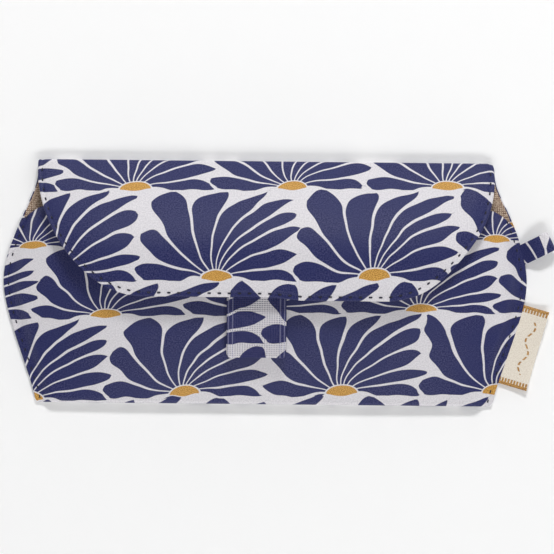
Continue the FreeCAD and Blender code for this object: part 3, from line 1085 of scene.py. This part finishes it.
def make_pull_tab(material):
    """Elastic folded double at its end, lying on the front and sewn under the flap's edge."""
    profile = band_profile(TAB_WIDTH, TAB_LAYER, RIB_PLACES)
    path = fold_path(-TAB_ROOT_Y, -TAB_END_Y, TAB_GAP, TAB_GAP + TAB_LAYER + TAB_FOLD_GAP)
    sections, places = [], []
    for at, run, out, up in rings(path, profile):
        tuck = TAB_TUCK * smoothstep(-TAB_END_Y - 2.2, -TAB_END_Y, run) ** 2
        across = profile[:, 0] * (1 - 2 * tuck / TAB_WIDTH)
        points = np.column_stack([TAB_X + across, out])
        bow = TAB_BOW * (2 * across / TAB_WIDTH) ** 2
        lift = TAB_STAND_OFF * smoothstep(-TAB_ROOT_Y, -TAB_END_Y, run)
        face = front_smooth(points)
        sections.append(face + normals_of(front_smooth, points) * (up + bow + lift)[:, None])
        places.append(np.column_stack([across + TAB_PRINT[0], TAB_PRINT[1] + at + 0 * across, across]))
    return swept_band("elastic_tab", sections, places, "printed_elastic", material)


LOOP_Y = 13.6
LOOP_YAW = math.radians(27)
LOOP_LENGTH = 13.0
LOOP_WIDTH = 8.5
LOOP_LAYER = 0.7
LOOP_PRINT = (17.0, 61.0)


def make_side_loop(material):
    """Strip folded into an eye, both its ends going into the right seam."""
    root = np.array([float(half_width(LOOP_Y)) + 1.3, LOOP_Y, 0.0])
    ahead = np.array([math.cos(LOOP_YAW), math.sin(LOOP_YAW), 0])
    sideways = np.array([-ahead[1], ahead[0], 0])
    lower = [(-1.5, 0.95), (1.0, 0.9), (4.0, 0.85), (7.0, 0.85), (10.0, 0.95)]
    turn = arc(LOOP_LENGTH - 2.4, 3.1, 2.1, 2.15, -80, 80, 13)
    upper = [(9.0, 5.3), (6.0, 5.1), (3.2, 3.9), (1.0, 2.3), (-1.5, 1.25)]
    path = smooth_line(np.vstack([lower, turn, upper]), 60)
    profile = band_profile(LOOP_WIDTH, LOOP_LAYER, (), 0.3)
    sections, places = [], []
    for at, _, out, up in rings(path, profile):
        sections.append(root + out[:, None] * ahead + profile[:, :1] * sideways + up[:, None] * UPWARDS)
        places.append(np.column_stack([profile[:, 0] + LOOP_PRINT[0], at + LOOP_PRINT[1] + 0 * up, 0 * up]))
    return swept_band("loop_strip", sections, places, "printed_cloth", material)


def smooth_line(points, count):
    """Even points along a NURBS curve that follows some control points."""
    curve = bpy.data.curves.new("line", "CURVE")
    curve.dimensions = "3D"
    spline = curve.splines.new("NURBS")
    spline.points.add(len(points) - 1)
    for point, (a, b) in zip(spline.points, points):
        point.co = (a, b, 0, 1)
    spline.order_u = 3
    spline.use_endpoint_u = True
    spline.resolution_u = 12
    holder = bpy.data.objects.new("line", curve)
    mesh = bpy.data.meshes.new_from_object(holder)
    line = np.array([v.co[:2] for v in mesh.vertices])
    bpy.data.meshes.remove(mesh)
    bpy.data.objects.remove(holder)
    bpy.data.curves.remove(curve)
    return evenly(line, count)


LABEL_TOP_Y = -8.6
LABEL_LENGTH = 35.4
LABEL_WIDTH = 10.3
LABEL_TUCK = 3.0
LABEL_LAYERS = (0.75, 1.17)
LABEL_HALF_LAYER = 0.17


def make_label(material):
    """Woven strip folded double along its outer edge, its two long edges in the right seam."""
    top = np.array([float(half_width(LABEL_TOP_Y)) + 0.9, LABEL_TOP_Y, 0.0])
    low_y = LABEL_TOP_Y - LABEL_LENGTH
    foot = np.array([float(half_width(low_y)) + 2.2, low_y, 0.0])
    along = (foot - top) / np.linalg.norm(foot - top)
    across = np.array([-along[1], along[0], 0])
    path = fold_path(-LABEL_TUCK, LABEL_WIDTH, *LABEL_LAYERS)
    steps = np.linspace(0, LABEL_LENGTH, 49)
    upper = np.column_stack([steps, 0 * steps + LABEL_HALF_LAYER])
    profile = np.vstack([upper, upper[::-1] * [1, -1]])
    sections, places = [], []
    for _, _, out, up in rings(path, profile):
        share = np.clip(out / LABEL_WIDTH, 0, 1)
        curl = share**2 * (0.9 + 0.7 * np.cos(profile[:, 0] / LABEL_LENGTH * 5.0))
        points = top + profile[:, :1] * along + out[:, None] * across
        sections.append(points + (up + curl)[:, None] * UPWARDS)
        places.append(np.column_stack([out, profile[:, 0], 0 * out + LABEL_LENGTH]))
    return swept_band("folded_label", sections, places, "label_weave", material)


# ---------------- light and camera

VIEW_X = 5.16
VIEW_Y = 2.6
VIEW_PLANE_Z = 9.0
VIEW_WIDTH = 238.2
VIEW_ROLL = math.radians(0.6)
LENS = 300.0
SENSOR = 36.0

# Floor, in metres
FLOOR_Z = -0.0002
COVE_MIDDLE = 0.3
COVE_FLAT = 2.4
COVE_BEND = 0.5
COVE_HEIGHT = 1.3
COVE_SIDES = 96
FLOOR_GLOW = (0.07, 0.42)


def make_area_light(name, energy, size, place):
    """A soft rectangular light that looks at the case."""
    light = bpy.data.lights.new(name, "AREA")
    light.shape = "RECTANGLE"
    light.size, light.size_y = size
    light.energy = energy
    lamp = bpy.data.objects.new(name, light)
    lamp.location = place
    lamp.rotation_euler = (Vector((0, 0, 0.01)) - Vector(place)).to_track_quat("-Z", "Y").to_euler()
    bpy.context.scene.collection.objects.link(lamp)


def make_cove():
    """Round floor whose edge sweeps up into a wall, in metres."""
    bend = arc(COVE_FLAT, COVE_BEND, COVE_BEND, COVE_BEND, -90, 0, 16)
    section = np.vstack([[[COVE_MIDDLE, 0]], bend, [[COVE_FLAT + COVE_BEND, COVE_HEIGHT]]])
    verts = []
    for radius, height in section:
        for turn in 2 * math.pi * np.arange(COVE_SIDES) / COVE_SIDES:
            verts.append((radius * math.cos(turn), radius * math.sin(turn), height + FLOOR_Z))
    faces = [face[::-1] for face in tube_faces(len(section), COVE_SIDES)[:-1]]
    mesh = bpy.data.meshes.new("floor")
    mesh.from_pydata(verts, [], faces)
    mesh.shade_smooth()
    floor = bpy.data.objects.new("floor", mesh)
    bpy.context.scene.collection.objects.link(floor)
    return floor


def make_stage():
    """Pale floor that glows more with distance, so that it has no grey horizon, and two soft lights."""
    floor = make_cove()
    material, tree = new_material("floor", Roughness=0.9, Specular_IOR_Level=0.1)
    shader_input(tree, "Base Color").default_value = (0.96, 0.96, 0.96, 1)
    shader_input(tree, "Emission Color").default_value = (1, 1, 1, 1)
    x, y, _ = split(tree, tree.nodes.new("ShaderNodeNewGeometry").outputs["Position"])
    glow = (x * x + y * y).root().ramp(COVE_MIDDLE, COVE_FLAT, *FLOOR_GLOW)
    feed(tree, shader_input(tree, "Emission Strength"), glow)
    floor.data.materials.append(material)
    floor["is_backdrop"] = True
    world = bpy.data.worlds.new("studio")
    world.use_nodes = True
    background = world.node_tree.nodes["Background"]
    background.inputs["Color"].default_value = (1, 1, 1, 1)
    background.inputs["Strength"].default_value = 0.15
    bpy.context.scene.world = world
    bpy.context.scene.view_settings.view_transform = "Standard"
    make_area_light("key", energy=13.0, size=(0.4, 0.2), place=(0.12, 1.15, 1.0))
    make_area_light("fill", energy=11.5, size=(1.2, 0.35), place=(0.25, -1.2, 1.15))


def make_camera():
    """Long lens straight above the case, at the distance where the view has its width at its plane."""
    data = bpy.data.cameras.new("camera")
    data.lens = LENS
    data.sensor_width = SENSOR
    data.clip_start = 0.05
    data.clip_end = 20
    camera = bpy.data.objects.new("camera", data)
    camera.location = (VIEW_X * MM, VIEW_Y * MM, (VIEW_PLANE_Z + VIEW_WIDTH * LENS / SENSOR) * MM)
    camera.rotation_euler = (0, 0, VIEW_ROLL)
    bpy.context.scene.collection.objects.link(camera)
    bpy.context.scene.camera = camera


# ---------------- assembly


def blended(piece):
    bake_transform(piece)


def add_panels(printed_cloth):
    """The padded panels and their linings, bending over the top fold."""
    strip, front = make_panels(printed_cloth)
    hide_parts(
        "back_outer_panel", "back_wadding", "top_fold_outer", "flap_outer_panel", "flap_wadding"
    )
    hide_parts("front_outer_panel", "front_wadding")
    strip_lining, front_lining = make_linings(make_lining_cloth())
    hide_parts("back_lining", "top_fold_lining", "flap_lining")
    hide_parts("front_lining")
    for piece in (strip, strip_lining):
        blended(piece)
    for piece in (front, front_lining):
        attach(piece, "case")


def add_stitches():
    flap_stitches, side_stitches = make_stitches(make_thread())
    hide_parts("flap_topstitching")
    for piece, node in zip(side_stitches, ("left_side_topstitching", "right_side_topstitching")):
        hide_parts(node)


def add_tab():
    tab = make_pull_tab(make_printed_elastic())
    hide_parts("elastic_pull_tab")
    blended(tab)


def add_loop(printed_cloth):
    loop = make_side_loop(printed_cloth)
    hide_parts("side_loop")
    root = (float(half_width(LOOP_Y)) + 0.6, LOOP_Y, 1.0)
    blended(loop)


def add_label():
    label = make_label(make_label_weave())
    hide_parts("woven_label")
    middle_y = LABEL_TOP_Y - LABEL_LENGTH / 2
    middle_x = float(half_width(middle_y))
    blended(label)


def dress_snaps():
    metal = make_snap_metal()
    for name in ("front_snap_stud", "front_snap_washer", "flap_snap_socket", "flap_snap_washer"):
        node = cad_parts[name]
        node.data.materials.clear()
        node.data.materials.append(metal)


def write_size():
    boxes = {"cad": CAD_BOX, "visual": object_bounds()}
    {key: [list(map(float, corner)) for corner in box] for key, box in boxes.items()}


def main():
    make_stage()
    make_camera()
    printed_cloth = make_printed_cloth()
    add_panels(printed_cloth)
    add_stitches()
    add_tab()
    add_loop(printed_cloth)
    add_label()
    dress_snaps()
    write_size()


main()
